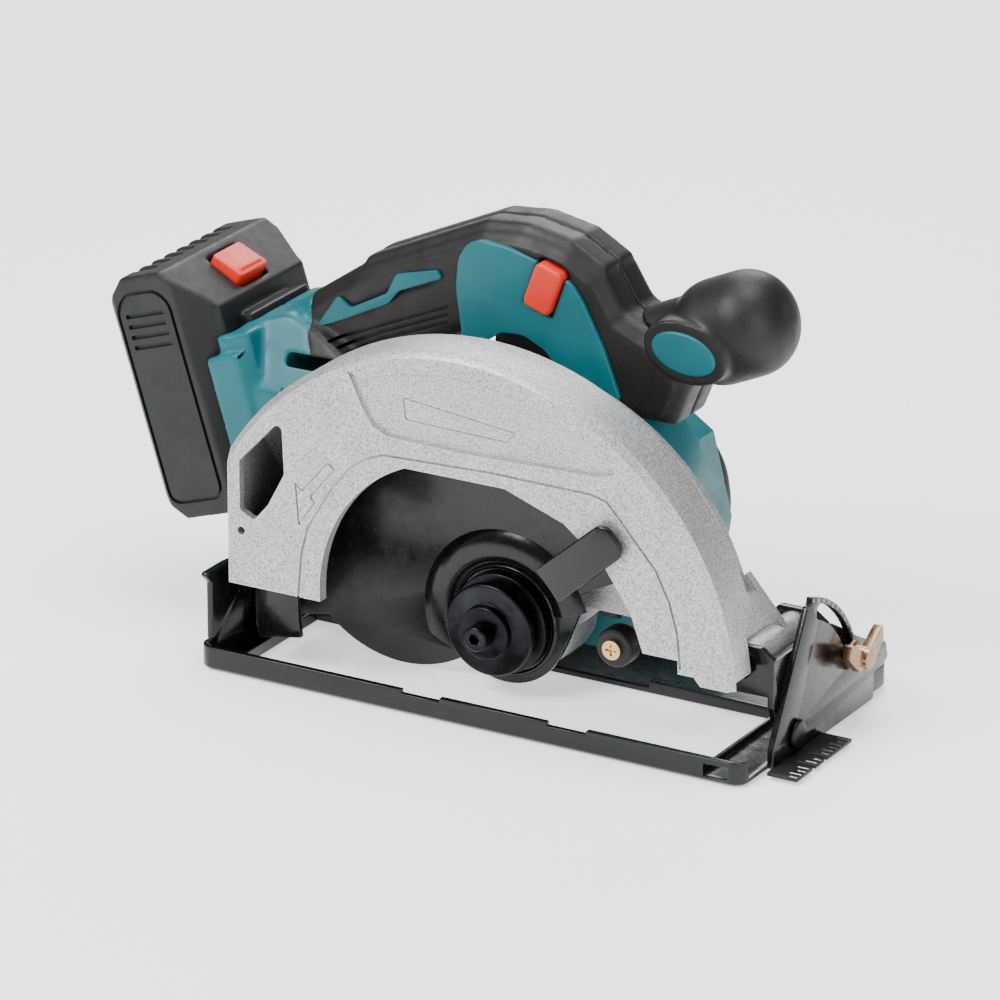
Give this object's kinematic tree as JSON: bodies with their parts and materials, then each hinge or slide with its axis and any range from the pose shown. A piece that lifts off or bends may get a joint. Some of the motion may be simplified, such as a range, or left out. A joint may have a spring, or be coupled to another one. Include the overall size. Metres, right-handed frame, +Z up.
{
  "type": "circular saw",
  "caption": "Cordless hand-held circular saw with a cast upper guard, swinging lower guard, bevelling sole plate, D-handle, front knob and slide-on battery.",
  "frame": {"origin": "on the underside of the sole plate, on its solid strip, 50 mm to the motor side of the blade plane and below the spindle axis", "axes": "+X forward in the direction of the cut, +Y towards the motor, +Z up"},
  "size_m": [0.3053, 0.1426, 0.1665],
  "materials": {
    "painted_steel": "gloss black paint",
    "dark_steel": "blackened steel",
    "plated_steel": "zinc plated",
    "cast_aluminium": "sand-blasted casting",
    "rubber_black": "soft moulded rubber",
    "brass": "plain brass",
    "bronze": "bronze-coloured plating",
    "teal_plastic": "satin moulded plastic",
    "black_plastic": "fine-textured plastic",
    "red_plastic": "satin orange-red plastic",
    "motor_steel": "laminated steel",
    "circuit_board": "green board",
    "cell_wrap": "heat-shrink sleeve"
  },
  "bodies": {
    "base": {"base_plate": "painted_steel", "front_quadrant": "painted_steel", "rear_quadrant": "painted_steel", "line_guide": "plated_steel", "bevel_rivets": "dark_steel"},
    "tilt_frame": {"front_bracket": "painted_steel", "rear_bracket": "painted_steel", "depth_guide": "painted_steel", "depth_pivot_bolt": "dark_steel", "depth_pivot_nut": "dark_steel"},
    "wing_screw": {"bevel_wing_screw": "bronze"},
    "saw": {"upper_guard": "cast_aluminium", "guard_back": "cast_aluminium", "guard_screws": "plated_steel", "guard_bumper": "rubber_black", "guard_bumper_screw": "brass", "bearing_retainer": "dark_steel", "spindle_bearings": "plated_steel", "rotor_bearings": "plated_steel", "stator": "motor_steel", "gear_housing": "cast_aluminium", "bearing_plate": "cast_aluminium", "motor_housing": "teal_plastic", "motor_end_cap": "black_plastic", "motor_screws": "plated_steel", "handle_near": "teal_plastic", "handle_far": "teal_plastic", "grip_band": "rubber_black", "knob": "rubber_black", "knob_insert": "teal_plastic", "grip_insert": "teal_plastic", "side_panel": "teal_plastic", "trigger_pin": "plated_steel", "switch_module": "black_plastic", "control_board": "circuit_board", "terminal_block": "black_plastic", "clamp_screws": "plated_steel", "depth_lock_bolt": "dark_steel", "guard_spring": "dark_steel"},
    "swing_guard": {"lower_guard": "painted_steel", "lower_guard_lever": "painted_steel"},
    "spindle_group": {"spindle": "plated_steel", "spindle_gear": "plated_steel", "inner_flange": "dark_steel", "outer_flange": "dark_steel", "blade_bolt": "dark_steel"},
    "rotor": {"rotor_shaft": "plated_steel", "rotor_core": "motor_steel", "cooling_fan": "black_plastic"},
    "trigger_body": {"trigger": "black_plastic"},
    "lock_off": {"lock_off_button": "red_plastic"},
    "shaft_lock": {"shaft_lock_button": "black_plastic"},
    "depth_lever": {"depth_lock_lever": "black_plastic"},
    "battery": {"battery_front": "black_plastic", "battery_rear": "black_plastic", "battery_cells": "cell_wrap", "battery_board": "circuit_board"},
    "battery_release": {"battery_button": "red_plastic"}
  },
  "joints": [
    {"name": "bevel_tilt", "type": "hinge", "parent": "base", "child": "tilt_frame", "pos_m": [0, -0.05, 0.009], "axis": [1, 0, 0], "range_deg": [0, 45]},
    {"name": "bevel_lock", "type": "hinge", "parent": "tilt_frame", "child": "wing_screw", "pos_m": [0.124, -0.00892, 0.02477], "axis": [1, 0, 0], "range_deg": [-90, 90]},
    {"name": "depth_swing", "type": "hinge", "parent": "tilt_frame", "child": "saw", "pos_m": [0.106, -0.05, 0.036], "axis": [0, 1, 0], "range_deg": [0, 20]},
    {"name": "guard_swing", "type": "hinge", "parent": "saw", "child": "swing_guard", "pos_m": [0, -0.05, 0.026], "axis": [0, -1, 0], "range_deg": [0, 120], "stiffness_Nm_per_rad": 0.03, "springref_deg": 131.78},
    {"name": "spindle_turn", "type": "hinge", "parent": "saw", "child": "spindle_group", "pos_m": [0, -0.05, 0.026], "axis": [0, 1, 0], "continuous": true},
    {"name": "rotor_turn", "type": "hinge", "parent": "saw", "child": "rotor", "pos_m": [0.01, -0.05, 0.05], "axis": [0, 1, 0], "continuous": true},
    {"name": "trigger_pull", "type": "hinge", "parent": "saw", "child": "trigger_body", "pos_m": [0.001, -0.004, 0.123], "axis": [0, 1, 0], "range_deg": [0, 10], "stiffness_Nm_per_rad": 0.5},
    {"name": "lock_off_push", "type": "slide", "parent": "saw", "child": "lock_off", "axis": [0, 1, 0], "range_m": [0, 0.0025], "stiffness_N_per_m": 300},
    {"name": "shaft_lock_push", "type": "slide", "parent": "saw", "child": "shaft_lock", "axis": [-1, 0, 0], "range_m": [0, 0.004], "stiffness_N_per_m": 300},
    {"name": "depth_lock_turn", "type": "hinge", "parent": "saw", "child": "depth_lever", "pos_m": [-0.08853, -0.05, 0.0224], "axis": [0, 1, 0], "range_deg": [0, 30]},
    {"name": "battery_slide", "type": "slide", "parent": "saw", "child": "battery", "axis": [-0.3, 0, 0.9539], "range_m": [0, 0.095]},
    {"name": "battery_release_push", "type": "slide", "parent": "battery", "child": "battery_release", "axis": [-0.4153, 0, -0.9097], "range_m": [0, 0.002], "stiffness_N_per_m": 500}
  ],
  "couplings": [
    {"joint": "rotor_turn", "follows": "spindle_turn", "ratio": -2.7143}
  ]
}
